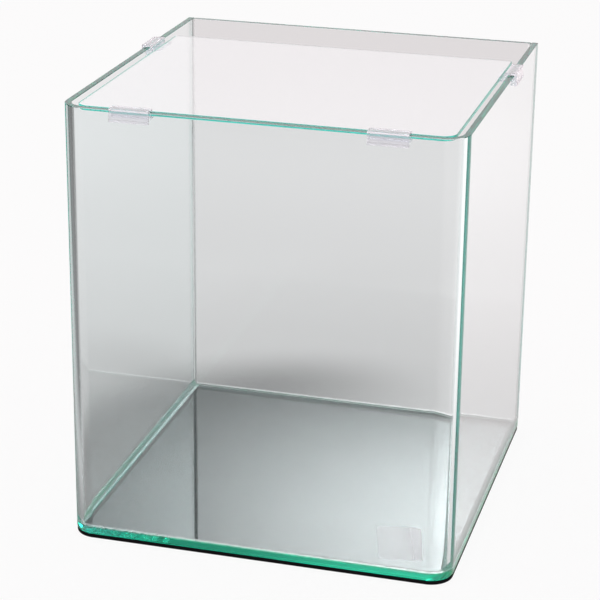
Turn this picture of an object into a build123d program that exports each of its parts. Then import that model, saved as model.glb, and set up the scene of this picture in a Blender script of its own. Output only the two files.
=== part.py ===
from build123d import *
import os

os.makedirs("parts", exist_ok=True)

# Frame: origin at the centre of the mat's underside, +Z up, the bent front faces -Y
# All sizes are in millimetres

# Tank
tank_width = 300.0
tank_depth = 300.0
glass_height = 342.0
wall_thickness = 5.0
bend_radius = 18.0
bottom_thickness = 6.0
foot_joint = 1.0
corner_joint = 0.8
rim_arris = 0.4
base_top_arris = 0.5
base_lower_bevel = 1.0

# Foam mat under the glass
mat_thickness = 3.0
mat_inset = 0.3

# Silicone beads
side_bead_width = 4.6
side_bead_height = 5.5
front_bead = 1.2
back_bead_width = 1.2
back_bead_height = 2.5
bead_lip = 0.4
corner_bead = 2.5
seam_set_back = 0.3

# Cover glass
cover_thickness = 3.0
cover_drop = 0.7
cover_side_play = 2.9
cover_front_play = 1.5
cover_rear_gap = 58.0
cover_front_radius = 10.0
cover_rear_radius = 3.0
cover_arris = 0.4

# Cover clips
clip_wall = 1.8
clip_clearance = 0.3
clip_length = 30.0
clip_outer_drop = 8.0
clip_ledge_bearing = 2.8
clip_lip_height = 1.5
clip_lip_depth = 0.5
clip_edge_round = 0.4
front_clip_from_side = 55.0
side_clip_from_cover_back = 35.0

# Plain adhesive film on the front glass
film_width = 34.0
film_height = 27.0
film_thickness = 0.15
film_tilt = 5.0
film_centre_from_side = 38.0
film_centre_above_floor = 22.5

# Levels that follow from the sizes above
base_z = mat_thickness
floor_z = base_z + bottom_thickness
foot_z = floor_z + foot_joint
rim_z = base_z + glass_height
wall_height = rim_z - foot_z
cover_top_z = rim_z - cover_drop
cover_bottom_z = cover_top_z - cover_thickness

# Half sizes of the tank, outside and inside
half_width = tank_width / 2
half_depth = tank_depth / 2
inner_half_width = half_width - wall_thickness
inner_half_depth = half_depth - wall_thickness
inner_bend_radius = bend_radius - wall_thickness
back_inner_y = half_depth - wall_thickness

# Inner face of a clip's inner leg, measured inwards from the wall's outer face
clip_inner_face = wall_thickness + clip_clearance + clip_wall


def front_rounded_plate(x_half, y_front, y_back, radius, z_low, height):
    """A plate with its two front upright corners rounded."""
    width = 2 * x_half
    depth = y_back - y_front
    middle = (y_front + y_back) / 2
    plate = Pos(0, middle, z_low + height / 2) * Box(width, depth, height)
    corners = plate.edges().filter_by(Axis.Z).sort_by(Axis.Y)[0:2]
    return fillet(corners, radius)


def level_edges(shape, level):
    """The edges of a shape that lie flat at one height."""
    return shape.edges().filter_by_position(Axis.Z, level - 0.001, level + 0.001)


# Foam mat
mat = front_rounded_plate(
    half_width - mat_inset,
    -half_depth + mat_inset,
    half_depth - mat_inset,
    bend_radius - mat_inset,
    0,
    mat_thickness,
)

# Bottom pane, its front corners follow the bend of the wall that stands on it
bottom_pane = front_rounded_plate(
    half_width,
    -half_depth,
    half_depth,
    bend_radius,
    base_z,
    bottom_thickness,
)
bottom_pane = chamfer(level_edges(bottom_pane, base_z), base_lower_bevel)
bottom_pane = chamfer(level_edges(bottom_pane, floor_z), base_top_arris)

# Bent wall, one sheet that makes the left side, the front and the right side
wall_block = front_rounded_plate(
    half_width,
    -half_depth,
    half_depth,
    bend_radius,
    foot_z,
    wall_height,
)
wall_space = front_rounded_plate(
    inner_half_width,
    -inner_half_depth,
    half_depth + wall_thickness,
    inner_bend_radius,
    foot_z - wall_thickness,
    wall_height + 2 * wall_thickness,
)
bent_wall = wall_block - wall_space
bent_wall = chamfer(level_edges(bent_wall, rim_z), rim_arris)

# Back pane, held between the ends of the bent wall
back_width = 2 * (inner_half_width - corner_joint)
back_pane = Pos(0, half_depth - wall_thickness / 2, foot_z + wall_height / 2) * Box(
    back_width, wall_thickness, wall_height
)
back_pane = chamfer(level_edges(back_pane, rim_z), rim_arris)

def foot_bead(start, inwards, along, width, height, length):
    """A straight bead along the foot of a wall, with a small lip at each thin edge."""
    outline = Polyline(
        (0, 0),
        (width, 0),
        (width, bead_lip),
        (bead_lip, height),
        (0, height),
        close=True,
    )
    section = make_face(Plane(start, x_dir=inwards, z_dir=along) * outline)
    return extrude(section, length)


# Silicone bed under the bent wall
bed_block = front_rounded_plate(
    half_width - seam_set_back,
    -half_depth + seam_set_back,
    half_depth - seam_set_back,
    bend_radius - seam_set_back,
    floor_z,
    foot_joint,
)
wall_bed = bed_block - wall_space

# Low bead along the wall's whole inner foot, all that shows at the front
low_block = front_rounded_plate(
    inner_half_width,
    -inner_half_depth,
    back_inner_y,
    inner_bend_radius,
    floor_z,
    front_bead,
)
low_space = front_rounded_plate(
    inner_half_width - front_bead,
    -inner_half_depth + front_bead,
    half_depth,
    inner_bend_radius - front_bead,
    floor_z - front_bead,
    3 * front_bead,
)
low_bead = low_block - low_space

# Full bead along each side wall, which runs out against the bend
side_block = front_rounded_plate(
    inner_half_width,
    -inner_half_depth,
    back_inner_y,
    inner_bend_radius,
    floor_z,
    side_bead_height,
)
left_bead = foot_bead(
    (-inner_half_width, back_inner_y, floor_z),
    (1, 0, 0),
    (0, -1, 0),
    side_bead_width,
    side_bead_height,
    back_inner_y + inner_half_depth,
)
left_bead = left_bead & side_block
right_bead = mirror(left_bead, Plane.YZ)
wall_foot_seam = wall_bed + low_bead + left_bead + right_bead

# Silicone bed under the back pane, and the bead along its inner foot
back_bed = Pos(0, half_depth - wall_thickness / 2 - seam_set_back / 2, floor_z + foot_joint / 2) * Box(
    back_width, wall_thickness - seam_set_back, foot_joint
)
back_bead = foot_bead(
    (inner_half_width, back_inner_y, floor_z),
    (0, -1, 0),
    (-1, 0, 0),
    back_bead_width,
    back_bead_height,
    2 * inner_half_width,
)
back_foot_seam = back_bed + back_bead - wall_foot_seam

# Upright silicone seams between the ends of the back pane and the side walls
seam_height = rim_z - seam_set_back - floor_z
seam_joint = Pos(
    inner_half_width - corner_joint / 2,
    half_depth - wall_thickness / 2 - seam_set_back / 2,
    floor_z + seam_height / 2,
) * Box(corner_joint, wall_thickness - seam_set_back, seam_height)
seam_bead = Pos(
    inner_half_width - corner_bead / 2,
    back_inner_y - corner_bead / 2,
    floor_z + seam_height / 2,
) * Box(corner_bead, corner_bead, seam_height)
seam_bead_edge = seam_bead.edges().filter_by(Axis.Z).sort_by(lambda e: e.center().X + e.center().Y)[0]
seam_bead = chamfer(seam_bead_edge, corner_bead * 0.85)
right_back_seam = seam_joint + seam_bead - wall_foot_seam - back_foot_seam
left_back_seam = mirror(right_back_seam, Plane.YZ)

# Cover glass, its front corners follow the inside of the bend
cover_half_width = half_width - clip_inner_face - cover_side_play
cover_front_y = -half_depth + clip_inner_face + cover_front_play
cover_back_y = back_inner_y - cover_rear_gap
cover = front_rounded_plate(
    cover_half_width,
    cover_front_y,
    cover_back_y,
    cover_front_radius,
    cover_bottom_z,
    cover_thickness,
)
rear_corners = cover.edges().filter_by(Axis.Z).sort_by(Axis.Y)[-2:]
cover = fillet(rear_corners, cover_rear_radius)
cover = chamfer(level_edges(cover, cover_top_z), cover_arris)
cover = chamfer(level_edges(cover, cover_bottom_z), cover_arris)


def make_clip(play):
    """A cover clip in its own frame: wall's outer face at Y 0, tank inside at +Y, rim at Z 0."""
    outer = -clip_clearance - clip_wall
    ledge_top = -cover_drop - cover_thickness
    ledge_bottom = ledge_top - clip_wall
    ledge_end = clip_inner_face + play + clip_ledge_bearing
    leg_bottom = -clip_outer_drop
    outline = Polyline(
        (outer, clip_wall),
        (clip_inner_face, clip_wall),
        (clip_inner_face, ledge_top),
        (ledge_end, ledge_top),
        (ledge_end, ledge_bottom),
        (wall_thickness + clip_clearance, ledge_bottom),
        (wall_thickness + clip_clearance, 0),
        (-clip_clearance, 0),
        (-clip_clearance, leg_bottom),
        (outer - clip_lip_depth, leg_bottom),
        (outer - clip_lip_depth, leg_bottom + clip_lip_height),
        (outer, leg_bottom + clip_lip_height + clip_lip_depth),
        close=True,
    )
    section = make_face(Plane.YZ * outline)
    clip = extrude(section, clip_length / 2, both=True)
    long_edges = clip.edges().filter_by(Axis.X)
    top_edges = long_edges.filter_by_position(Axis.Z, clip_wall - 0.001, clip_wall + 0.001)
    nose_edges = long_edges.filter_by_position(Axis.Y, ledge_end - 0.001, ledge_end + 0.001)
    return fillet(top_edges + nose_edges, clip_edge_round)


# The four clips, the side pair turned a quarter turn
front_clip = make_clip(cover_front_play)
side_clip = make_clip(cover_side_play)
front_clip_x = half_width - front_clip_from_side
side_clip_y = cover_back_y - side_clip_from_cover_back
front_left_clip = Pos(-front_clip_x, -half_depth, rim_z) * front_clip
front_right_clip = Pos(front_clip_x, -half_depth, rim_z) * front_clip
left_clip = Pos(-half_width, side_clip_y, rim_z) * Rot(0, 0, -90) * side_clip
right_clip = Pos(half_width, side_clip_y, rim_z) * Rot(0, 0, 90) * side_clip

# Plain film stuck on the lower right of the front glass
film = Box(film_width, film_thickness, film_height)
film = Rot(0, -film_tilt, 0) * film
film_x = half_width - film_centre_from_side
film_z = floor_z + film_centre_above_floor
film = Pos(film_x, -half_depth - film_thickness / 2, film_z) * film

pieces = {
    "foam_mat": mat,
    "bottom_pane": bottom_pane,
    "bent_glass_wall": bent_wall,
    "back_pane": back_pane,
    "wall_foot_seam": wall_foot_seam,
    "back_foot_seam": back_foot_seam,
    "left_back_seam": left_back_seam,
    "right_back_seam": right_back_seam,
    "cover_glass": cover,
    "front_left_clip": front_left_clip,
    "front_right_clip": front_right_clip,
    "left_clip": left_clip,
    "right_clip": right_clip,
    "blank_film": film,
}

for name, shape in pieces.items():
    solids = shape.solids()
    print(name, len(solids), round(sum(s.volume for s in solids), 2))
    export_step(solids[0] if len(solids) == 1 else shape, "parts/" + name + ".step")
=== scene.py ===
# %% [markdown]
# # A glass tank with a bent front
#
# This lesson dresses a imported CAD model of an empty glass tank. The tank has one sheet of glass bent round
# both front corners, a flat back pane, a bottom pane on a black foam mat, clear silicone seams, and a loose
# cover glass that rests on four clear clips. Glass is nearly all that there is to see, so most of the
# lesson is about thickness, edges and tint. Lengths are written in millimetres, and MM turns them into
# metres.

import math

import bpy
import numpy as np
from mathutils import Matrix, Vector


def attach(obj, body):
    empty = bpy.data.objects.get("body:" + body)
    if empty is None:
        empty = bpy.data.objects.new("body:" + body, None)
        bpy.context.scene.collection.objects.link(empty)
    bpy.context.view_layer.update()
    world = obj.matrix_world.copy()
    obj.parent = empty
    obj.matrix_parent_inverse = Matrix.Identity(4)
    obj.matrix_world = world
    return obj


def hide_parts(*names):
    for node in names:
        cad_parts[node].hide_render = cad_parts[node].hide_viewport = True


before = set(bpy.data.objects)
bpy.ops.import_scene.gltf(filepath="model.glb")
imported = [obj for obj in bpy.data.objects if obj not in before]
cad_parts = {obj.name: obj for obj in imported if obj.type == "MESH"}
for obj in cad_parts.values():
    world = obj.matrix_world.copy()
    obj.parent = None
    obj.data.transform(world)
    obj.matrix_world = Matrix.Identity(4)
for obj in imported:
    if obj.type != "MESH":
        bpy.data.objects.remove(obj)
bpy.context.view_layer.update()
MM = 0.001
scene = bpy.context.scene
print("nodes:", sorted(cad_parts))

# %% [markdown]
# Colours have to come out as they are written, so the view transform is Standard. Light that enters the
# edge of a pane bounces between its two faces all the way to the far edge, 300 mm away, at steps of 5 mm or
# so. Each bounce counts, and Blender's usual limits would stop such a path and paint the edges black.
# Raising the limits is the plain way to keep them lit. Only the few pixels on the edges need them, so it
# costs little time.

# %% Colour and bounces
scene.view_settings.view_transform = "Standard"
edge_bounces = 240
scene.cycles.max_bounces = edge_bounces
scene.cycles.glossy_bounces = edge_bounces
scene.cycles.transmission_bounces = edge_bounces
scene.cycles.transparent_max_bounces = 32
print("bounces:", scene.cycles.max_bounces)

# %% [markdown]
# The camera stands to the right of the tank and above it. Its place comes from a least-squares fit to the
# edges in the photograph. The lens axis stays centred, because other views keep the camera's shift, and a
# shifted tank would leave their frames. The rotation is built from three angles, so each can be read alone.

# %% Camera
eye = Vector((396.5, -1483.6, 736.9)) * MM
turn, tilt, roll = 0.2661, 0.3605, 0.0120
forward = Vector((-math.sin(turn) * math.cos(tilt), math.cos(turn) * math.cos(tilt), -math.sin(tilt)))
level = Vector((math.cos(turn), math.sin(turn), 0))
upward = level.cross(forward)
right = level * math.cos(roll) + upward * math.sin(roll)
top = upward * math.cos(roll) - level * math.sin(roll)

sensor_mm, picture_px, focal_px = 36, 600, 2051.0
camera_data = bpy.data.cameras.new("camera")
camera_data.sensor_width = sensor_mm
camera_data.lens = focal_px * sensor_mm / picture_px
camera = bpy.data.objects.new("camera", camera_data)
camera.matrix_world = Matrix.Translation(eye) @ Matrix((right, top, -forward)).transposed().to_4x4()
scene.collection.objects.link(camera)
scene.camera = camera
print("lens in mm:", round(camera_data.lens, 1))

# %% [markdown]
# Materials are node trees. One small helper makes a node, sets its plain inputs and links the rest, so that
# each material below reads as a list of what it is made of.

# %% A helper for nodes
def put(tree, kind, values=None, **settings):
    """Adds a node. values gives its inputs: a socket is linked, anything else is set."""
    node = tree.nodes.new(kind)
    for name, value in settings.items():
        setattr(node, name, value)
    for key, value in (values or {}).items():
        if isinstance(value, bpy.types.NodeSocket):
            tree.links.new(value, node.inputs[key])
        else:
            node.inputs[key].default_value = value
    return node


def new_material(name):
    """An empty material with its output node."""
    material = bpy.data.materials.new(name)
    material.use_nodes = True
    material.node_tree.nodes.clear()
    return material, material.node_tree, material.node_tree.nodes.new("ShaderNodeOutputMaterial")


print("node helpers ready")

# %% [markdown]
# Light and wear are written as sums and products of smooth steps. These helpers each stand for one such
# step, so that the formulas below stay short.

# %% Helpers for values
def ramp(tree, value, low, high):
    """A smooth step of a value, from 0 at low to 1 at high."""
    return put(tree, "ShaderNodeMapRange", {"Value": value, "From Min": low, "From Max": high},
               interpolation_type="SMOOTHSTEP").outputs["Result"]


def times(tree, a, b):
    """The product of two values."""
    return put(tree, "ShaderNodeMath", {0: a, 1: b}, operation="MULTIPLY").outputs[0]


def scaled_sum(tree, start, *terms):
    """start plus each value times its factor."""
    total = start
    for value, factor in terms:
        step = put(tree, "ShaderNodeMath", {0: value, 1: factor, 2: total}, operation="MULTIPLY_ADD")
        total = step.outputs[0]
    return total


def larger(tree, a, b):
    """The larger of two values."""
    return put(tree, "ShaderNodeMath", {0: a, 1: b}, operation="MAXIMUM").outputs[0]


def mixed_colour(tree, factor, first, second):
    """The first colour where factor is 0, and the second where it is 1."""
    mix = put(tree, "ShaderNodeMix", {"Factor": factor, 6: first, 7: second}, data_type="RGBA")
    return mix.outputs[2]


def along(tree, direction, axis):
    """How far a direction points along an axis."""
    dot = put(tree, "ShaderNodeVectorMath", {0: direction, 1: axis}, operation="DOT_PRODUCT")
    return dot.outputs["Value"]


WHITE = (1, 1, 1, 1)
print("value helpers ready")

# %% [markdown]
# The floor is one large pale plane. The camera sees it almost white, which is what a product page shows. A
# tenth of its real shading stays in that view, and keeps the shadow under the mat. Seen through the glass
# or mirrored in it, the paper is a pale grey with painted light and shade: a painted shadow close to the
# tank on the left and in front of it, and painted light to the right. This difference is what makes clear
# panes stand out softly against the white. A patch of painted shade lies to the left of the tank, with wide
# soft borders. From the camera's side only the bend of the left upright shows it, so that edge gets a line.
# The slight warm tint takes back a part of the glass's own green.

# %% Floor
floor_mesh = bpy.data.meshes.new("studio_floor")
reach = 12.0
floor_mesh.from_pydata(
    [(-reach, -reach, 0), (reach, -reach, 0), (reach, reach, 0), (-reach, reach, 0)], [], [(0, 1, 2, 3)]
)
studio_floor = bpy.data.objects.new("studio_floor", floor_mesh)
scene.collection.objects.link(studio_floor)

floor_paper, tree, out = new_material("floor_paper")
place = put(tree, "ShaderNodeTexCoord").outputs["Object"]
away = put(tree, "ShaderNodeVectorMath", {0: place}, operation="LENGTH").outputs["Value"]
east, north, _ = put(tree, "ShaderNodeSeparateXYZ", {0: place}).outputs
# Painted shadow close to the tank on the left.
painted_shadow_close_left = times(tree, ramp(tree, away, 0.30, 0.20), ramp(tree, east, 0.10, -0.10))
left_of_bend = scaled_sum(tree, -0.21, (east, -0.81), (north, -0.59))
# A patch of painted shade to the left of the tank, not a real card.
painted_shade_patch = times(tree, ramp(tree, left_of_bend, 0.0, 0.24), ramp(tree, north, -0.30, -0.15))
# Painted light that rises away from the tank and dims far off.
off_tank = ramp(tree, away, 0.20, 0.60)
far_off = ramp(tree, away, 1.00, 1.50)
# Painted light to the right.
painted_light_to_the_right = ramp(tree, east, 0.0, 0.5)
far_behind = ramp(tree, north, 0.50, 0.90)
# Painted shadow in front of the tank.
painted_shadow_in_front = ramp(tree, north, -0.16, -0.30)
# The grey that the glass shows: the paper's pale grey with these painted shadows and painted light.
grey = scaled_sum(
    tree, 0.66,
    (painted_shadow_close_left, -0.37),
    (painted_shade_patch, -0.60),
    (off_tank, 0.12),
    (far_off, -0.06),
    (painted_light_to_the_right, 0.34),
    (far_behind, 0.05),
    (painted_shadow_in_front, -0.40),
)
rays = put(tree, "ShaderNodeLightPath")
seen = put(tree, "ShaderNodeMix", {"Factor": rays.outputs["Is Camera Ray"], "A": grey, "B": 1.0})
through = larger(tree, rays.outputs["Is Transmission Ray"], rays.outputs["Is Glossy Ray"])
flat_share = 0.9
share = times(tree, larger(tree, rays.outputs["Is Camera Ray"], through), flat_share)
tint = mixed_colour(tree, rays.outputs["Is Camera Ray"], (1.08, 0.98, 0.99, 1), WHITE)
paper_colour = (0.80, 0.775, 0.77, 1)
paper = put(tree, "ShaderNodeBsdfDiffuse", {"Color": paper_colour})
lit = put(tree, "ShaderNodeEmission", {"Color": tint, "Strength": seen.outputs["Result"]})
mixed = put(tree, "ShaderNodeMixShader", {0: share, 1: paper.outputs[0], 2: lit.outputs[0]})
tree.links.new(mixed.outputs[0], out.inputs["Surface"])
floor_mesh.materials.append(floor_paper)
print("floor reaches", reach, "m each way")

# %% [markdown]
# The world is the studio: white for the camera, and a soft pale grey for everything else. Behind the tank
# and to its right, a wide, low softbox glows inside a darker strip. The camera doesn't see the softbox
# itself, but the bottom pane mirrors it, and that gives the tank's floor its run from dark at the left to
# bright at the right. It is only as high as the floor needs, so that the seams mirror little of it. A lamp
# with sharp sides would leave hard outlines in the mirror, so the glow is a smooth function of the
# direction: how far it points across, behind and up. Light that doesn't go straight to the camera has a
# slight warm tint, like the floor's.

# %% World
world = bpy.data.worlds.new("studio")
world.use_nodes = True
scene.world = world
tree = world.node_tree
tree.nodes.clear()
out = tree.nodes.new("ShaderNodeOutputWorld")
where = put(tree, "ShaderNodeTexCoord").outputs["Generated"]
to_right, to_rear = (0.978, 0.208, 0.0), (-0.208, 0.978, 0.0)
across = along(tree, where, to_right)
behind = along(tree, where, to_rear)
height = put(tree, "ShaderNodeSeparateXYZ", {0: where}).outputs["Z"]

rear = ramp(tree, behind, 0.15, 0.55)
right_end = ramp(tree, across, 0.62, 0.30)
softbox_width = times(tree, ramp(tree, across, -0.205, 0.098), right_end)
softbox_height = times(tree, ramp(tree, height, 0.368, 0.455), ramp(tree, height, 0.525, 0.475))
softbox = times(tree, softbox_width, softbox_height)
strip_height = times(tree, ramp(tree, height, 0.29, 0.37), ramp(tree, height, 0.75, 0.50))
dark_strip = times(tree, strip_height, right_end)
horizon = ramp(tree, height, 0.36, 0.29)
softbox_strength = 5.4
sky = scaled_sum(
    tree, 0.75,
    (horizon, 0.30),
    (times(tree, dark_strip, rear), -0.33),
    (times(tree, softbox, rear), softbox_strength),
)
rays = put(tree, "ShaderNodeLightPath")
seen = put(tree, "ShaderNodeMix", {"Factor": rays.outputs["Is Camera Ray"], "A": sky, "B": 1.0})
tint = mixed_colour(tree, rays.outputs["Is Camera Ray"], (1.07, 0.975, 1.0, 1), WHITE)
studio_light = put(tree, "ShaderNodeBackground", {"Color": tint, "Strength": seen.outputs["Result"]})
tree.links.new(studio_light.outputs[0], out.inputs["Surface"])
print("the softbox adds", softbox_strength, "at most")

# %% [markdown]
# One broad lamp overhead gives the rims, clips and beads a highlight that the even world can't give. It is
# large and weak, so its shadow stays soft.

# %% Overhead lamp
lamp_data = bpy.data.lights.new("overhead_softbox", "AREA")
lamp_data.shape = "RECTANGLE"
lamp_data.size, lamp_data.size_y = 1.4, 1.0
lamp_data.energy = 4
lamp = bpy.data.objects.new("overhead_softbox", lamp_data)
lamp.location = (-0.5, -0.3, 2.0)
lamp_aim = Vector((0, 0, 0.15))
lamp.rotation_euler = (lamp_aim - lamp.location).to_track_quat("-Z", "Y").to_euler()
lamp.visible_camera = False
scene.collection.objects.link(lamp)
print("lamp watts:", lamp_data.energy)

# %% [markdown]
# Every pane, seam and mat here is a thin profile carried along a line in plan: the bent wall, the rounded
# rim of a plate, a bead of silicone. A curve with a bevel object could do it, but glass shows every error
# in its normals, and a coarse bend would refract in steps. So a helper sweeps the profile itself and gives
# each face corner its exact normal. A plan line is a list of stations, each with a place and the direction
# inwards. A bend gets many stations, and the small corners of a plate get few.

# %% Plan lines
BEND_STEPS, SMALL_CORNER_STEPS, SMALL_CORNER = 32, 10, 5


def corner(centre, radius, start, end, steps):
    """Stations round one corner. The angles are those of the outward normal, in degrees."""
    angles = np.radians(np.linspace(start, end, steps + 1))
    return [
        (centre[0] + radius * math.cos(a), centre[1] + radius * math.sin(a), -math.cos(a), -math.sin(a))
        for a in angles
    ]


def plate_line(half_width, front, back, front_radius, back_radius):
    """Stations once round a plate, against the clock from its front left corner."""
    places = (
        (-half_width + front_radius, front + front_radius, front_radius, 180),
        (half_width - front_radius, front + front_radius, front_radius, 270),
        (half_width - back_radius, back - back_radius, back_radius, 360),
        (-half_width + back_radius, back - back_radius, back_radius, 450),
    )
    line = []
    for x, y, radius, angle in places:
        steps = BEND_STEPS if radius > SMALL_CORNER else SMALL_CORNER_STEPS
        line += corner((x, y), radius, angle, angle + 90, steps)
    return line


def wall_line(half_width, front, back, radius):
    """Stations down the left side, round the front and up the right side, ending at back."""
    bends = corner((-half_width + radius, front + radius), radius, 180, 270, BEND_STEPS)
    bends += corner((half_width - radius, front + radius), radius, 270, 360, BEND_STEPS)
    return [(-half_width, back, 1, 0)] + bends + [(half_width, back, -1, 0)]


print("stations round a plate:", len(plate_line(150, -150, 150, 18, 1)))

# %% [markdown]
# The profile is a list of points, each a distance inwards from the plan line and a height. It is listed so
# that the outside lies on its left when seen with inwards to the right. Faces run from station to station,
# and the normal of a face corner is the profile's own normal turned to face the right way at that station.

# %% Sweeping a profile
def make_piece(name, points, faces, material, normals=None, sharp=None):
    """A piece from points in millimetres. normals gives one normal for each face corner. Without them,
    sharp is an angle in degrees, and edges that turn by less are shaded smooth."""
    mesh = bpy.data.meshes.new(name)
    mesh.from_pydata([tuple(c * MM for c in p) for p in points], [], faces)
    mesh.materials.append(material)
    mesh.shade_smooth()
    if normals is not None:
        mesh.normals_split_custom_set(normals)
    else:
        mesh.set_sharp_from_angle(angle=math.radians(sharp))
    piece = bpy.data.objects.new(name, mesh)
    scene.collection.objects.link(piece)
    return piece


def sweep(line, profile, closed):
    """Points, faces and corner normals of a profile carried along a plan line.

    A closed line is a plate: its profile is one edge from the underside to the top, and two flat lids close
    it. On an open line the profile is a whole section, and the two ends are closed. profile may also be a
    function that gives each station its own section; such a piece is shaded without the corner normals."""
    sections = [profile(*station) if callable(profile) else profile for station in line]
    profile = sections[0]
    count, last = len(profile), len(line) - 1
    points = [(x + ix * depth, y + iy * depth, z)
              for (x, y, ix, iy), section in zip(line, sections) for depth, z in section]
    faces, normals = [], []
    for i in range(len(line) if closed else last):
        n = (i + 1) % len(line)
        for j in range(count - 1 if closed else count):
            k = (j + 1) % count
            rise = Vector((profile[k][0] - profile[j][0], profile[k][1] - profile[j][1])).normalized()
            faces.append((i * count + j, n * count + j, n * count + k, i * count + k))
            normals += [(-rise.y * line[s][2], -rise.y * line[s][3], rise.x) for s in (i, n, n, i)]
    if closed:
        underside = [i * count for i in reversed(range(len(line)))]
        upper = [i * count + count - 1 for i in range(len(line))]
        faces += [tuple(underside), tuple(upper)]
        normals += [(0, 0, -1)] * len(line) + [(0, 0, 1)] * len(line)
    else:
        for face in (tuple(range(count)), tuple(last * count + j for j in reversed(range(count)))):
            a, b, c = (Vector(points[face[m]]) for m in (0, 1, 2))
            faces.append(face)
            normals += [tuple((b - a).cross(c - a).normalized())] * count
    return points, faces, normals


print("sweep ready")

# %% [markdown]
# A pane that has been handled and wiped isn't perfectly clear. Wiping leaves long faint streaks that cross
# each other, and a little dust and lime stays on top of them. Both are faint, so they only soften a
# reflection. More than one material needs them, so they are one node group, with the streaks along a chosen
# direction.

# %% A group for wiped and handled surfaces
def wiped_surface_group():
    """Faint wiping streaks and dust: a roughness and a height that change over the surface."""
    group = bpy.data.node_groups.new("wiped surface", "ShaderNodeTree")
    number = "NodeSocketFloat"
    for name, value in (
        ("Streak Scale", 60.0),
        ("Base Roughness", 0.0),
        ("Streak Roughness", 0.03),
        ("Dust Amount", 0.1),
    ):
        socket = group.interface.new_socket(name=name, in_out="INPUT", socket_type=number)
        socket.default_value = value
    for name in ("Roughness", "Height", "Dust"):
        group.interface.new_socket(name=name, in_out="OUTPUT", socket_type=number)
    given = group.nodes.new("NodeGroupInput")
    result = group.nodes.new("NodeGroupOutput")
    where = put(group, "ShaderNodeTexCoord")
    streaks = []
    for angle, squeeze in ((0.4, 0.12), (-0.9, 0.2)):
        turned = put(group, "ShaderNodeMapping",
                     {"Vector": where.outputs["Object"], "Rotation": (angle, angle, 0.3),
                      "Scale": (1, 1, squeeze)})
        streaks.append(put(group, "ShaderNodeTexNoise",
                           {"Vector": turned.outputs["Vector"], "Scale": given.outputs["Streak Scale"],
                            "Detail": 4.0, "Roughness": 0.6}).outputs["Fac"])
    crossed = put(group, "ShaderNodeMath", {0: streaks[0], 1: streaks[1]}, operation="MULTIPLY").outputs[0]
    marks = ramp(group, crossed, 0.22, 0.42)
    specks = put(group, "ShaderNodeTexNoise",
                 {"Vector": where.outputs["Object"], "Scale": 900.0, "Detail": 1.0}).outputs["Fac"]
    dust = times(group, ramp(group, specks, 0.62, 0.78), given.outputs["Dust Amount"])
    added = times(group, marks, given.outputs["Streak Roughness"])
    rough = put(group, "ShaderNodeMath", {0: added, 1: given.outputs["Base Roughness"]}, operation="ADD")
    rough = put(group, "ShaderNodeMath", {0: rough.outputs[0], 1: times(group, dust, 0.3)}, operation="ADD")
    group.links.new(rough.outputs[0], result.inputs["Roughness"])
    group.links.new(marks, result.inputs["Height"])
    group.links.new(dust, result.inputs["Dust"])
    return group


wiped_surface = wiped_surface_group()
print("group outputs:", [socket.name for socket in wiped_surface.nodes["Group Output"].inputs if socket.name])

# %% [markdown]
# Float glass is clear across its 5 mm and green along its 300 mm. A surface colour can't do both, so the
# tint is absorption inside the pane. Red goes first, then a little blue, which leaves the sea green of the
# edges. Light that only passes through on its way to the floor needn't bend: the mix with a transparent
# shader lets lamps and scattered light straight through, with the small loss that each face has in reality.
# base_roughness sets how sharp a surface mirrors: none for the glass, and more for the silicone.

# %% A maker of clear materials
FACE_LOSS = (0.955, 0.965, 0.96, 1)
GLASS_IOR, SILICONE_IOR, PLASTIC_IOR = 1.52, 1.49, 1.57


def clear_material(name, ior, depth_colour, density, streak_scale, streak_roughness, base_roughness=0.0,
                   dust_amount=0.1, bump=0.02, clear=1.0, milk=WHITE, flecks=None):
    """A clear solid with an inner tint and a wiped surface. clear is how much of it lets light in, and milk
    colours the rest. flecks adds a mask of rough flecks and their relief."""
    material, tree, out = new_material(name)
    marks = put(tree, "ShaderNodeGroup", node_tree=wiped_surface)
    for socket, value in (("Streak Scale", streak_scale), ("Streak Roughness", streak_roughness),
                          ("Base Roughness", base_roughness), ("Dust Amount", dust_amount)):
        marks.inputs[socket].default_value = value
    ripple = put(tree, "ShaderNodeBump",
                 {"Height": marks.outputs["Height"], "Strength": bump, "Distance": 0.0002})
    roughness, normal = marks.outputs["Roughness"], ripple.outputs["Normal"]
    if flecks:
        mask, relief = flecks(tree)
        roughness = scaled_sum(tree, roughness, (mask, 0.35))
        raised = put(tree, "ShaderNodeBump",
                     {"Height": relief, "Strength": 0.7, "Distance": 0.0008, "Normal": normal})
        normal = raised.outputs["Normal"]
    body = put(tree, "ShaderNodeBsdfPrincipled", {
        "Base Color": milk, "Metallic": 0.0, "IOR": ior, "Transmission Weight": clear,
        "Roughness": roughness, "Normal": normal})
    straight = put(tree, "ShaderNodeBsdfTransparent", {"Color": FACE_LOSS})
    rays = put(tree, "ShaderNodeLightPath")
    scattered = larger(tree, rays.outputs["Is Shadow Ray"], rays.outputs["Is Diffuse Ray"])
    surface = put(tree, "ShaderNodeMixShader", {0: scattered, 1: body.outputs[0], 2: straight.outputs[0]})
    inside = put(tree, "ShaderNodeVolumeAbsorption", {"Color": depth_colour, "Density": density})
    tree.links.new(surface.outputs[0], out.inputs["Surface"])
    tree.links.new(inside.outputs[0], out.inputs["Volume"])
    return material


print("index of refraction:", GLASS_IOR, "glass,", SILICONE_IOR, "silicone,", PLASTIC_IOR, "plastic")

# %% [markdown]
# Along the left end of the front edge, a row of small glue flecks stays on the polished glass. A cell
# pattern in one dimension spaces them, leaning a little, and a noise makes their outlines waver. The mask
# is kept to the front face and to the upper part of the edge.

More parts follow.
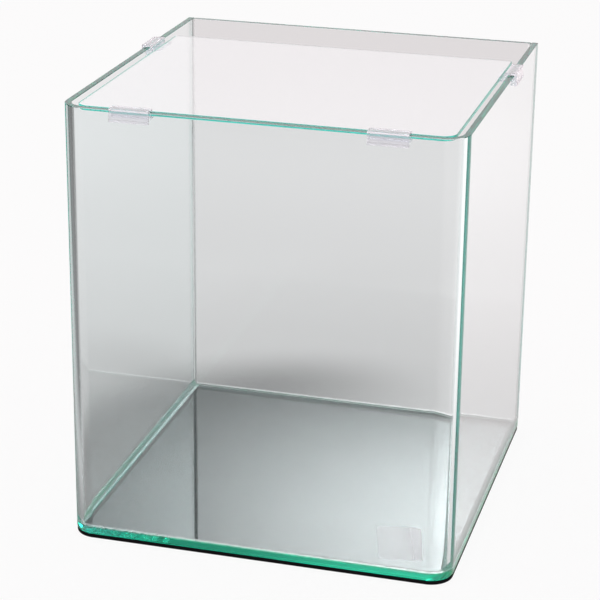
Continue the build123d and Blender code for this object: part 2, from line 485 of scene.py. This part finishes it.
# %% Glue flecks
def glue_flecks(tree):
    """Small flecks of glue along the left end of the front edge: a mask and its relief."""
    place = put(tree, "ShaderNodeTexCoord").outputs["Object"]
    x, y, z = put(tree, "ShaderNodeSeparateXYZ", {0: place}).outputs
    waver = put(tree, "ShaderNodeTexNoise", {"Vector": place, "Scale": 420.0, "Detail": 2.0}).outputs["Fac"]
    leaning = scaled_sum(tree, x, (z, -0.5))
    row = put(tree, "ShaderNodeTexVoronoi", {"W": leaning, "Scale": 118.0, "Randomness": 0.55},
              voronoi_dimensions="1D")
    spots = ramp(tree, scaled_sum(tree, row.outputs["Distance"], (waver, 0.5)), 0.52, 0.40)
    stretch = times(tree, ramp(tree, x, -0.066, -0.070), ramp(tree, x, -0.1395, -0.1380))
    edge = times(tree, ramp(tree, y, -0.1490, -0.1496), ramp(tree, z, 0.0046, 0.0056))
    mask = times(tree, spots, times(tree, stretch, edge))
    return mask, times(tree, mask, waver)


print("glue flecks ready")

# %% [markdown]
# Five clear materials differ only in their numbers. The three panes of glass are nearly alike, and only the
# bottom pane has the flecks. The silicone is a dense, faintly grey clear. The clips' plastic lets a little
# less light in than the others and scatters the rest.

# %% Clear materials
wall_glass = clear_material(
    "wall_glass", GLASS_IOR, depth_colour=(0.04, 0.91, 0.87, 1), density=12.0,
    streak_scale=16, streak_roughness=0.010)
base_glass = clear_material(
    "base_glass", GLASS_IOR, depth_colour=(0.02, 0.94, 0.82, 1), density=13.0,
    streak_scale=16, streak_roughness=0.012, flecks=glue_flecks)
cover_pane_glass = clear_material(
    "cover_pane_glass", GLASS_IOR, depth_colour=(0.04, 0.90, 0.84, 1), density=11.5,
    streak_scale=20, streak_roughness=0.014, dust_amount=0.2)
seam_silicone = clear_material(
    "seam_silicone", SILICONE_IOR, depth_colour=(0.82, 0.80, 0.81, 1), density=150,
    streak_scale=120, streak_roughness=0.05, base_roughness=0.17, dust_amount=0.2, bump=0.2)
hook_plastic = clear_material(
    "hook_plastic", PLASTIC_IOR, depth_colour=(0.86, 0.92, 0.97, 1), density=8,
    streak_scale=90, streak_roughness=0.03, base_roughness=0.005, dust_amount=0.15, bump=0.05,
    clear=0.86, milk=(0.93, 0.93, 0.97, 1))
print("clear materials:", wall_glass.name, base_glass.name, cover_pane_glass.name, seam_silicone.name,
      hook_plastic.name)

# %% [markdown]
# The mat is black closed-cell foam. Seen from the side its cut edge shows as fine open cells, which a
# Voronoi pattern gives, with painted shade darkening the hollow of each cell. A slower noise varies the
# tone, for the way it is squeezed unevenly under the tank.

# %% Black foam
mat_foam, tree, out = new_material("mat_foam")
where = put(tree, "ShaderNodeTexCoord")
cells_per_metre = 1400.0
cells = put(tree, "ShaderNodeTexVoronoi", {"Vector": where.outputs["Object"], "Scale": cells_per_metre})
slow = put(tree, "ShaderNodeTexNoise", {"Vector": where.outputs["Object"], "Scale": 45.0, "Detail": 3.0})
open_cells = ramp(tree, cells.outputs["Distance"], 0.10, 0.55)
# Painted shade: the hollow of each cell is darker than its rim.
pore_tone_with_painted_shade = mixed_colour(tree, open_cells, (0.0015, 0.0015, 0.002, 1), (0.008, 0.008, 0.009, 1))
pressed = mixed_colour(tree, slow.outputs["Fac"], (0.003, 0.003, 0.0035, 1), pore_tone_with_painted_shade)
bumps = put(tree, "ShaderNodeBump", {"Height": open_cells, "Strength": 0.5, "Distance": 0.0004})
foam = put(tree, "ShaderNodeBsdfPrincipled", {
    "Base Color": pressed, "Roughness": 0.95, "Specular IOR Level": 0.1, "Normal": bumps.outputs["Normal"]})
tree.links.new(foam.outputs[0], out.inputs["Surface"])
print("foam cells per metre:", cells_per_metre)

# %% [markdown]
# The film is a clear adhesive sheet on the front glass, left bare. Its face is satin, so it lays a faint
# white veil over what is behind it, a little thicker towards one side, with fine grain. A veil is surface
# colour with a low alpha; real refraction would be wasted on a tenth of a millimetre.

# %% Plain film
film_sheet, tree, out = new_material("film_sheet")
where = put(tree, "ShaderNodeTexCoord")
drift = put(tree, "ShaderNodeTexNoise", {"Vector": where.outputs["Object"], "Scale": 26.0, "Detail": 1.0})
grain = put(tree, "ShaderNodeTexNoise", {"Vector": where.outputs["Object"], "Scale": 1500.0, "Detail": 2.0})
side = put(tree, "ShaderNodeSeparateXYZ", {0: where.outputs["Object"]}).outputs["X"]
veil = scaled_sum(
    tree, 0.10,
    (ramp(tree, side, 0.100, 0.128), 0.14),
    (drift.outputs["Fac"], 0.08),
    (grain.outputs["Fac"], 0.04),
)
tone = mixed_colour(tree, grain.outputs["Fac"], (0.80, 0.83, 0.86, 1), (0.90, 0.92, 0.94, 1))
satin = put(tree, "ShaderNodeBump", {"Height": grain.outputs["Fac"], "Strength": 0.15, "Distance": 0.0001})
sheet = put(tree, "ShaderNodeBsdfPrincipled", {
    "Base Color": tone, "Roughness": 0.35, "IOR": 1.45, "Alpha": veil, "Normal": satin.outputs["Normal"]})
tree.links.new(sheet.outputs[0], out.inputs["Surface"])
print("film veil: about a tenth to a third")

# %% [markdown]
# The bent wall is one sheet, heated and bent round both front corners. Its rim has a fine arris, the small
# flat that a grinder leaves so that the edge doesn't cut. The sheet is one profile, swept down the left
# side, round the front and up the right side.

# %% Bent glass wall
half, bend = 150.0, 18.0
wall, floor_z, foot_z, rim_z = 5.0, 9.0, 10.0, 345.0
arris = 0.4
wall_profile = [(0, foot_z), (0, rim_z - arris), (arris, rim_z), (wall - arris, rim_z), (wall, rim_z - arris),
                (wall, foot_z)]
wall_stations = wall_line(half, -half, half, bend)
points, faces, normals = sweep(wall_stations, wall_profile, closed=False)
bent_wall = make_piece("bent_wall", points, faces, wall_glass, normals)
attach(bent_wall, "tank")
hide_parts("bent_glass_wall")
print("bent wall:", len(points), "points")

# %% [markdown]
# The bottom pane is thicker, and its polished edge follows the bend. Light runs through its whole depth
# between the two faces, which makes the deep green band at the foot of the tank.

# %% Bottom pane
base_z, base_back_corner = 3.0, 1.2
base_profile = [(1.0, base_z), (0.45, base_z + 0.35), (0.1, base_z + 0.9), (0, base_z + 1.7),
                (0, floor_z - 0.5), (0.5, floor_z)]
base_line = plate_line(half, -half, half, bend, base_back_corner)
points, faces, normals = sweep(base_line, base_profile, closed=True)
base_pane = make_piece("base_pane", points, faces, base_glass, normals)
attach(base_pane, "tank")
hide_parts("bottom_pane")
print("bottom pane:", len(points), "points")

# %% [markdown]
# The back pane stands between the two ends of the bent wall. It is flat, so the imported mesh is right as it
# is and only gets the wall's glass.

# %% Back pane
back_pane = bpy.data.objects["back_pane"]
for slot in back_pane.material_slots:
    slot.material = wall_glass

# %% [markdown]
# The cover is a thinner loose plate with the same bend at the front, a shade smaller, and all its edges are
# ground to a small arris.

# %% Cover glass
cover_top, cover_thickness = 344.3, 3.0
cover_low = cover_top - cover_thickness
cover_profile = [(arris, cover_low), (0, cover_low + arris), (0, cover_top - arris), (arris, cover_top)]
cover_half, cover_front, cover_back = 140.0, -141.4, 87.0
cover_front_corner, cover_back_corner = 10.0, 3.0
cover_line = plate_line(cover_half, cover_front, cover_back, cover_front_corner, cover_back_corner)
points, faces, normals = sweep(cover_line, cover_profile, closed=True)
cover = make_piece("cover", points, faces, cover_pane_glass, normals)
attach(cover, "cover")
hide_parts("cover_glass")
print("cover:", len(points), "points")

# %% [markdown]
# The foam mat is cut along the pane's outline, nearly flush with it. The tank's weight presses it flat, but
# its cut edge stays slightly barrelled. A hair of air is left under the pane, as on real foam, so the
# pane's underside still mirrors.

# %% Foam mat
mat_inset, mat_back_corner = 0.3, 1.0
mat_half = half - mat_inset
mat_profile = [(0.3, 0), (0.08, 0.35), (0, 0.9), (0, 1.9), (0.08, 2.5), (0.3, 2.85)]
mat_line = plate_line(mat_half, -mat_half, mat_half, bend - mat_inset, mat_back_corner)
points, faces, _ = sweep(mat_line, mat_profile, closed=True)
foam_underlay = make_piece("foam_underlay", points, faces, mat_foam, sharp=50)
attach(foam_underlay, "tank")
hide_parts("foam_mat")
print("foam mat:", len(points), "points")

# %% [markdown]
# Silicone holds the panes together. Under the wall it is a thin bed, and inside the tank a bead that was
# smoothed with a finger, so its face is hollow. Silicone wets the glass, with no air between them, so the
# bead is sunk 0.02 mm into the glass: with faces that only touched, the render would find a film of air
# there. It still takes each face as one against air, and mirrors more at that contact than real silicone
# does. The silicone's roughness is there to blur that false mirror.

# %% A tooled bead
sunk, set_back = 0.02, 0.3
HOLLOW_STEPS = 10


def hollow(start, pull, end):
    """Points along a hollow face, from start to end, drawn towards pull."""
    a, b, c = (np.array(point) for point in (start, pull, end))
    ts = np.linspace(0, 1, HOLLOW_STEPS + 1)
    return [tuple((1 - t) ** 2 * a + 2 * t * (1 - t) * b + t * t * c) for t in ts]


side_width, side_height = 4.6, 5.5
back_width, back_height = 1.2, 2.5
front_size = 1.2
hollowness = 0.2


def foot_section(width, height):
    """The bed under a wall and the bead at its inner foot, as one outline."""
    pull = (wall + hollowness * width, floor_z + hollowness * height)
    face = hollow((wall - sunk, floor_z + height), pull, (wall + width, floor_z - sunk))
    return [(set_back, floor_z - sunk), (set_back, foot_z + sunk), (wall - sunk, foot_z + sunk)] + face


def wall_section(x, y, ix, iy):
    """The seam's outline at a station of the bent wall: full at the sides, low round the front."""
    left_over = max(0.0, side_width - (bend - wall) * (1 - abs(ix)))
    height = side_height * left_over / side_width
    return foot_section(max(front_size, left_over), max(front_size, height))


side_section = foot_section(side_width, side_height)
back_section = foot_section(back_width, back_height)
print("points in a foot section:", len(side_section))

# %% [markdown]
# Towards the left end of the front, small flat air bubbles were trapped in the silicone when the wall was
# set down. A bubble is a shell turned inside out, so that light leaves the silicone into it.

# %% An air bubble
def bubble(centre, radii):
    """Points and faces of an air bubble, with its outside facing in."""
    rings, spokes = 6, 10
    points = [(centre[0], centre[1], centre[2] + radii[2])]
    for r in range(1, rings):
        lean = math.pi * r / rings
        for s in range(spokes):
            round_ = 2 * math.pi * s / spokes
            points.append((centre[0] + radii[0] * math.sin(lean) * math.cos(round_),
                           centre[1] + radii[1] * math.sin(lean) * math.sin(round_),
                           centre[2] + radii[2] * math.cos(lean)))
    points.append((centre[0], centre[1], centre[2] - radii[2]))
    faces = [(0, 1 + (s + 1) % spokes, 1 + s) for s in range(spokes)]
    for r in range(rings - 2):
        a, b = 1 + r * spokes, 1 + (r + 1) * spokes
        faces += [(a + s, a + (s + 1) % spokes, b + (s + 1) % spokes, b + s) for s in range(spokes)]
    low, last = 1 + (rings - 2) * spokes, len(points) - 1
    faces += [(low + s, low + (s + 1) % spokes, last) for s in range(spokes)]
    return points, faces


print("points in a bubble:", len(bubble((0, 0, 0), (1, 1, 1))[0]))

# %% [markdown]
# The bed and the bead under the bent wall are one piece of silicone. The bead is full along both sides and
# runs out against the bends. Round the front only a low line of it shows, so that the view in stays clean.
# At the back it ends against the back pane. The bubbles' places and sizes are drawn at random, always with
# the same start.

# %% Foot seam of the bent wall
points, faces, _ = sweep(wall_stations, wall_section, closed=False)
count, bed_points = len(side_section), 3
for first in (0, len(points) - count):
    for j in range(count):
        x, _, z = points[first + j]
        points[first + j] = (x, half - set_back if j < bed_points else half - wall + sunk, z)
trapped = np.random.default_rng(7)
bubbles, first_x, spacing = 9, -138.0, 8.2
bubble_z, bubble_rise = floor_z + 0.5, 0.42
for i in range(bubbles):
    x = first_x + spacing * i + trapped.uniform(-1.5, 1.5)
    y = -half + trapped.uniform(1.3, 2.4)
    length, depth = trapped.uniform(1.2, 2.6), trapped.uniform(0.5, 0.9)
    more, shell = bubble((x, y, bubble_z), (length, depth, bubble_rise))
    faces += [tuple(len(points) + v for v in face) for face in shell]
    points += more
wall_foot = make_piece("wall_foot_silicone", points, faces, seam_silicone, sharp=40)
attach(wall_foot, "tank")
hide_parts("wall_foot_seam")
print("wall foot seam:", len(points), "points,", bubbles, "bubbles")

# %% [markdown]
# The back pane has the same bed and a much thinner bead. Its bed fills the space between the wall's beds,
# and each end of its bead is cut to the face of the side bead that it meets.

# %% Foot seam of the back pane
side_depths = [depth for depth, z in side_section[bed_points:]]
side_levels = [z for depth, z in side_section[bed_points:]]
back_line = [(half, half, 0, -1), (-half, half, 0, -1)]
points, faces, _ = sweep(back_line, back_section, closed=False)
for first, side in ((0, 1), (count, -1)):
    for j in range(count):
        _, y, z = points[first + j]
        met = wall if j < bed_points else float(np.interp(z, side_levels[::-1], side_depths[::-1]))
        points[first + j] = (side * (half - met), y, z)
back_foot = make_piece("back_foot_silicone", points, faces, seam_silicone, sharp=40)
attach(back_foot, "tank")
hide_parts("back_foot_seam")
print("back foot seam:", len(points), "points")

# %% [markdown]
# The upright seams fill the narrow joint between the ends of the back pane and the side walls, with a small
# tooled bead in the inner corner. Each is a section in plan, raised to the rim. Its foot follows the
# surface of the beads that it stands on, so each point of the section starts at its own height.

# %% Upright back seams
joint, upright_bead, upright_pull = 0.8, 2.5, 0.6
seam_top, seam_rear = rim_z - set_back, half - set_back
inner = half - wall
pane_end = inner - joint - sunk
section = [(inner + sunk, seam_rear), (pane_end, seam_rear), (pane_end, inner - sunk)]
section += hollow((inner - upright_bead, inner + sunk), (inner - upright_pull, inner - upright_pull),
                  (inner + sunk, inner - upright_bead))
back_depths = [depth for depth, z in back_section[bed_points:]]
back_levels = [z for depth, z in back_section[bed_points:]]
margin, foot_overlap = 0.1, 0.05


def seam_foot(x, y):
    """The height at which a point of the upright seam meets the silicone below it."""
    if y > inner - margin and x > inner - joint - margin:
        return foot_z
    on_side = np.interp(half - x, side_depths, side_levels)
    on_back = np.interp(half - y, back_depths, back_levels)
    return float(max(on_side, on_back)) - foot_overlap


for side, name, node in (
    (-1, "left_upright_silicone", "left_back_seam"),
    (1, "right_upright_silicone", "right_back_seam"),
):
    low = [(side * x, y, seam_foot(x, y)) for x, y in section]
    high = [(side * x, y, seam_top) for x, y in section]
    n = len(section)
    faces = [(i, (i + 1) % n, n + (i + 1) % n, n + i) for i in range(n)]
    faces += [tuple(reversed(range(n))), tuple(range(n, 2 * n))]
    if side < 0:
        faces = [tuple(reversed(face)) for face in faces]
    upright = make_piece(name, low + high, faces, seam_silicone, sharp=40)
    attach(upright, "tank")
    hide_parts(node)
    print(name, "stands", round(seam_top - foot_z, 1), "mm tall")

# %% [markdown]
# The clips are moulded clear plastic. Each is a hook over the rim with an inward ledge for the cover, and a
# small finger lip on the outer leg. The section is extruded to the clip's length, and a bevel rounds every
# edge, as a mould does. Hardened normals keep the flats flat, so that they don't bend what is seen through.

# %% Cover clips
clip_wall, clearance, over_rim = 1.8, 0.3, 0.06
leg_bottom, lip_depth, lip_height = -8.0, 0.5, 1.5
clip_half_length, clip_bevel = 15.0, 0.3


def clip_section(ledge_end):
    """The hook's outline: inwards from the wall's outer face, and up from the rim."""
    outer = -clearance - clip_wall
    inner_leg = wall + clearance
    inner_face = inner_leg + clip_wall
    ledge_top = cover_low - rim_z
    ledge_bottom = ledge_top - clip_wall
    lip_top = leg_bottom + lip_height
    return [
        (outer, clip_wall), (inner_face, clip_wall), (inner_face, ledge_top),
        (ledge_end, ledge_top), (ledge_end, ledge_bottom), (inner_leg, ledge_bottom),
        (inner_leg, over_rim), (-clearance, over_rim), (-clearance, leg_bottom),
        (outer - lip_depth, leg_bottom), (outer - lip_depth, lip_top), (outer, lip_top + lip_depth),
    ]


def make_clip(name, ledge_end, place, turned, body, node):
    """A clip at a place on the wall's outer face. turned is its quarter turn in degrees."""
    spin = Matrix.Rotation(math.radians(turned), 3, "Z")
    outline = clip_section(ledge_end)
    points = []
    for x in (-clip_half_length, clip_half_length):
        points += [tuple(Vector(place) + spin @ Vector((x, y, rim_z + z))) for y, z in outline]
    n = len(outline)
    faces = [tuple(range(n)), tuple(reversed(range(n, 2 * n)))]
    faces += [(i, n + i, n + (i + 1) % n, (i + 1) % n) for i in range(n)]
    clip = make_piece(name, points, faces, hook_plastic, sharp=180)
    edges = clip.modifiers.new("moulded edges", "BEVEL")
    edges.width, edges.segments, edges.harden_normals = clip_bevel * MM, 3, True
    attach(clip, body)
    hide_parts(node)
    return clip


front_clip_x, side_clip_y = 95.0, 52.0
front_ledge_end, side_ledge_end = 11.4, 12.8
for name, ledge_end, place, turned, body, node in (
    ("front_left_hook", front_ledge_end, (-front_clip_x, -half, 0), 0,
     "front_left_holder", "front_left_clip"),
    ("front_right_hook", front_ledge_end, (front_clip_x, -half, 0), 0,
     "front_right_holder", "front_right_clip"),
    ("left_hook", side_ledge_end, (-half, side_clip_y, 0), -90,
     "left_holder", "left_clip"),
    ("right_hook", side_ledge_end, (half, side_clip_y, 0), 90,
     "right_holder", "right_clip"),
):
    clip = make_clip(name, ledge_end, place, turned, body, node)
    print(name, "on", body, "with", len(clip.data.vertices), "points before the bevel")

# %% [markdown]
# The film is cut with rounded corners and stuck on a little crooked. It is a flat plate, turned upright
# against the glass.

# %% Film on the front glass
film_half_width, film_half_height, film_corner = 17.0, 13.5, 1.6
film_profile = [(0, 0), (0, 0.10), (0.05, 0.12)]
film_centre = Vector((112.0, -half - sunk, 31.5))
crooked = Matrix.Rotation(math.radians(-5), 3, "Y")
film_line = plate_line(film_half_width, -film_half_height, film_half_height, film_corner, film_corner)
points, faces, _ = sweep(film_line, film_profile, closed=True)
points = [tuple(film_centre + crooked @ Vector((x, -z, y))) for x, y, z in points]
film = make_piece("bare_film", points, faces, film_sheet, sharp=60)
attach(film, "tank")
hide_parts("blank_film")
print("film:", len(points), "points")
